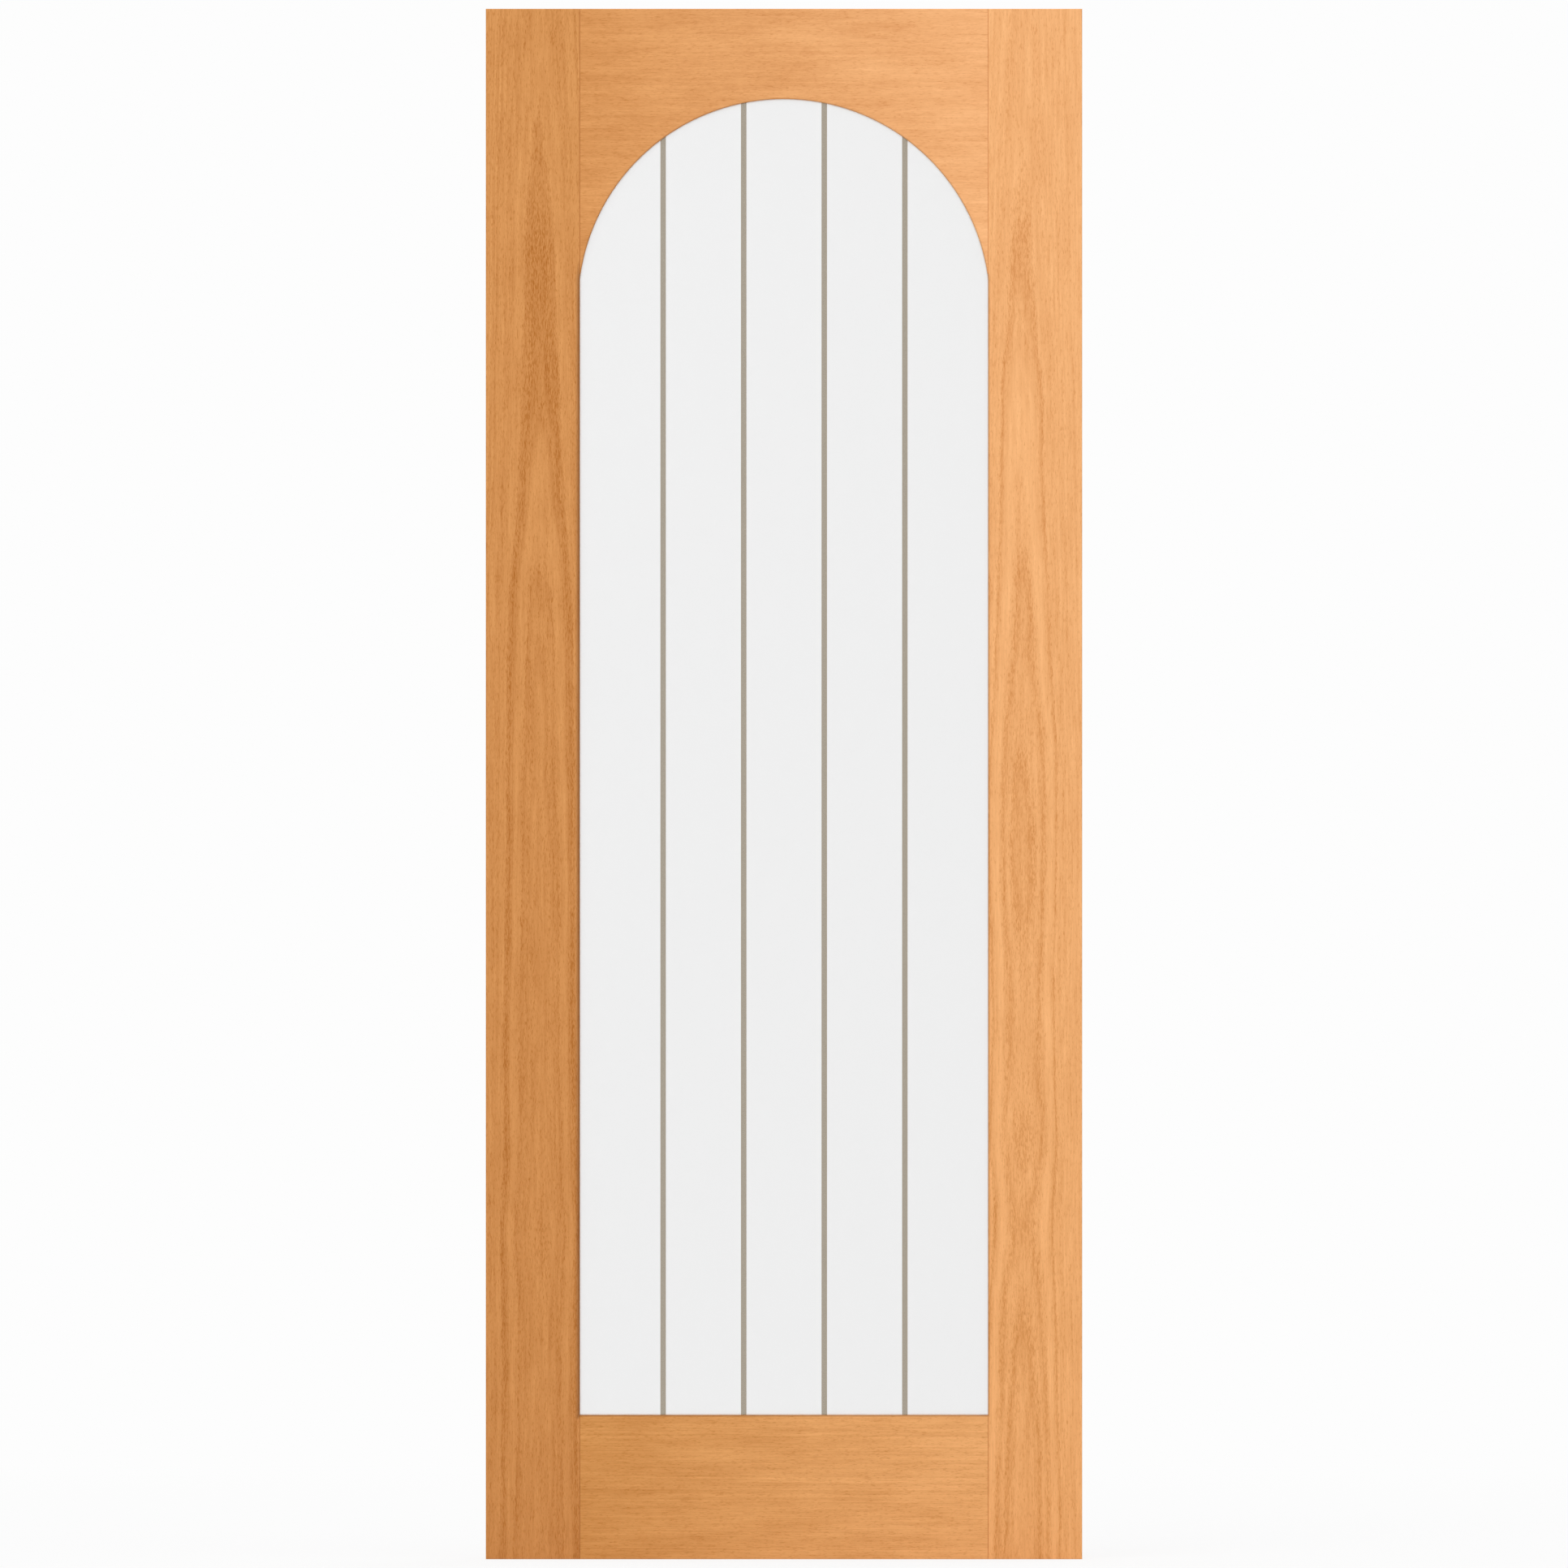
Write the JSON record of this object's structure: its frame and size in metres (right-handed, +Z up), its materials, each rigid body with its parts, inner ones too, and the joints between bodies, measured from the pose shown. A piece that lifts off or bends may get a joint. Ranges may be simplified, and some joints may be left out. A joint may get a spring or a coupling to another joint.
{
  "type": "arched glazed door leaf",
  "caption": "Oak door leaf with a tall round-arched pane of etched glass cut with vertical lines, held in a dowelled frame of stiles and rails by pinned beads.",
  "frame": {"origin": "middle of the leaf's foot, half way through its thickness", "axes": "+X across the leaf to the right seen from the front, +Y from the front face to the beaded back, +Z up"},
  "size_m": [0.762, 0.035, 1.981],
  "materials": {
    "oak_left_stile": "satin clear lacquer",
    "oak_right_stile": "satin clear lacquer",
    "oak_top_rail": "satin clear lacquer",
    "oak_bottom_rail": "satin clear lacquer",
    "oak_beads": "satin clear lacquer",
    "beech_dowels": "turned, unfinished",
    "etched_glass": "acid etched, with flat cut lines",
    "glazing_tape": "matt foam",
    "glazing_blocks": "matt moulded",
    "steel_pins": "bright drawn wire"
  },
  "bodies": {
    "root": {"left_stile": "oak_left_stile", "right_stile": "oak_right_stile", "top_rail": "oak_top_rail", "bottom_rail": "oak_bottom_rail", "rail_dowels": "beech_dowels", "front_tape": "glazing_tape", "glass_pane": "etched_glass", "rear_tape": "glazing_tape", "glazing_blocks": "glazing_blocks", "bead_left": "oak_beads", "bead_right": "oak_beads", "bead_bottom": "oak_beads", "bead_arch_left": "oak_beads", "bead_arch_right": "oak_beads", "bead_pins": "steel_pins"}
  },
  "joints": []
}
